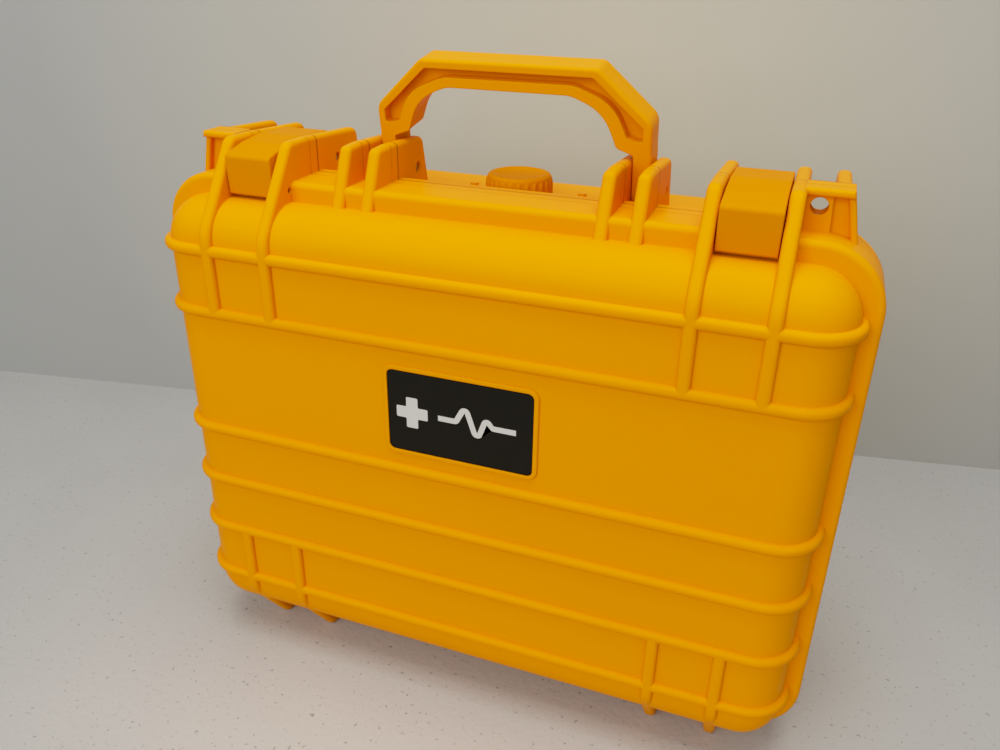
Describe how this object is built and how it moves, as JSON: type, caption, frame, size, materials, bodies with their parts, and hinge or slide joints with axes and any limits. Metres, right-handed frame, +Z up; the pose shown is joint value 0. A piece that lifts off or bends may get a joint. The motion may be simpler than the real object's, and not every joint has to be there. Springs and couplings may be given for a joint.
{
  "type": "defibrillator",
  "caption": "Portable defibrillator in a ribbed amber hard carry case with two latches, a folding handle and a pressure valve, standing on its hinge lugs.",
  "frame": {"origin": "bottom centre of the whole case, in the plane that its hinge lugs stand on", "axes": "+Z up, +X along the case's width, -Y the lid's outer face with the label, +Y the base's back"},
  "size_m": [0.356, 0.1372, 0.3453],
  "materials": {
    "case_plastic": "moulded amber-yellow polypropylene, fine satin texture",
    "case_trim": "amber-yellow moulded plastic, slightly smoother",
    "steel": "plain stainless pin",
    "seal_rubber": "black silicone",
    "foam_grey": "charcoal open-cell foam",
    "label_black": "satin black label",
    "label_white": "white print",
    "unit_grey": "light grey housing, fine texture",
    "unit_dark": "dark grey plastic",
    "button_orange": "orange push button",
    "button_green": "green push button",
    "lamp_green": "green status lens",
    "window": "clear screen window",
    "display": "dark display",
    "socket_yellow": "yellow electrode socket",
    "board_green": "solder-masked board",
    "can_black": "capacitor sleeve",
    "magnet": "dark painted metal",
    "pouch_foil": "foil-laminate pouch",
    "battery": "battery pack case"
  },
  "bodies": {
    "base": {"base_shell": "case_plastic", "hinge_pin_left": "steel", "hinge_pin_right": "steel", "latch_pin_left": "steel", "latch_pin_right": "steel", "handle_pin_left": "steel", "handle_pin_right": "steel", "valve_body": "case_trim", "valve_seal": "seal_rubber", "valve_nut": "case_trim", "valve_membrane": "unit_grey", "base_foam": "foam_grey", "electrode_pouch": "pouch_foil", "unit_front_housing": "unit_grey", "unit_rear_housing": "unit_dark", "unit_screws": "steel", "shock_button_ring": "unit_dark", "power_button_ring": "unit_dark", "status_lamp": "lamp_green", "screen_window": "window", "display_module": "display", "speaker_grille": "unit_dark", "speaker": "magnet", "electrode_socket": "socket_yellow", "circuit_board": "board_green", "capacitor": "can_black", "transformer": "magnet", "battery_pack": "battery"},
    "lid": {"lid_shell": "case_plastic", "lid_gasket": "seal_rubber", "catch_pins_left": "steel", "catch_pins_right": "steel", "label_plate": "label_black", "label_print": "label_white", "lid_foam": "foam_grey"},
    "latch_left": {"latch_left": "case_trim"},
    "latch_right": {"latch_right": "case_trim"},
    "handle": {"handle": "case_trim"},
    "valve_knob": {"valve_knob": "case_trim"},
    "shock_button": {"shock_button": "button_orange"},
    "power_button": {"power_button": "button_green"}
  },
  "joints": [
    {"name": "lid_hinge", "type": "hinge", "parent": "base", "child": "lid", "pos_m": [0, -0.0225, 0.0095], "axis": [1, 0, 0], "range_deg": [0, 100]},
    {"name": "latch_left_hinge", "type": "hinge", "parent": "base", "child": "latch_left", "pos_m": [-0.12, 0.0045, 0.289], "axis": [-1, 0, 0], "range_deg": [0, 110]},
    {"name": "latch_right_hinge", "type": "hinge", "parent": "base", "child": "latch_right", "pos_m": [0.12, 0.0045, 0.289], "axis": [-1, 0, 0], "range_deg": [0, 110]},
    {"name": "handle_hinge", "type": "hinge", "parent": "base", "child": "handle", "pos_m": [0, 0.0075, 0.287], "axis": [-1, 0, 0], "range_deg": [0, 98]},
    {"name": "valve_knob_turn", "type": "hinge", "parent": "base", "child": "valve_knob", "pos_m": [0, 0.0129, 0.28], "axis": [0, 0, 1], "range_deg": [0, 180]},
    {"name": "shock_button_press", "type": "slide", "parent": "base", "child": "shock_button", "axis": [0, 1, 0], "range_m": [0, 0.0015], "stiffness_N_per_m": 1500, "springref_m": -0.001},
    {"name": "power_button_press", "type": "slide", "parent": "base", "child": "power_button", "axis": [0, 1, 0], "range_m": [0, 0.0015], "stiffness_N_per_m": 1500, "springref_m": -0.001}
  ]
}
